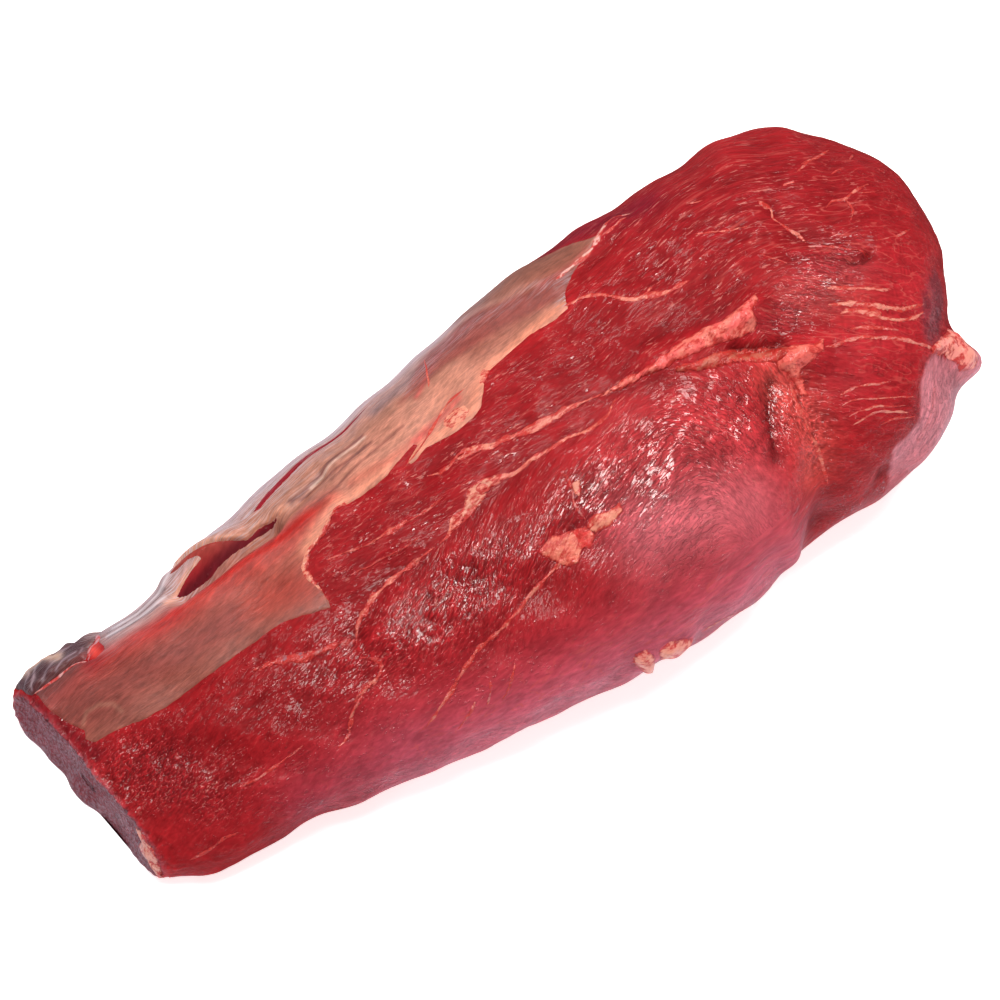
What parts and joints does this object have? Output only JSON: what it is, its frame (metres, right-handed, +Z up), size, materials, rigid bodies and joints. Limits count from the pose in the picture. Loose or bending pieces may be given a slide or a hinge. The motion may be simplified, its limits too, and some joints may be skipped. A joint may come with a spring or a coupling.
{
  "type": "beef chuck tender",
  "caption": "Whole raw beef chuck tender: a long tapering trimmed muscle with a thin cut end, a thick rounded end and silverskin along one side, lying on its flattest side.",
  "frame": {"origin": "middle of the footprint's bounding box, on the surface the meat lies on", "axes": "+X from the thin cut end to the thick rounded end, +Y to the side with the silverskin, +Z up"},
  "size_m": [0.2912, 0.1184, 0.0683],
  "materials": {
    "lean_meat": "wet raw lean beef with fine fibre relief",
    "silverskin": "thin satin connective sheet over the muscle",
    "fat": "soft cream to coral fat and seams"
  },
  "bodies": {
    "root": {"chuck_tender": "lean_meat"}
  },
  "joints": []
}
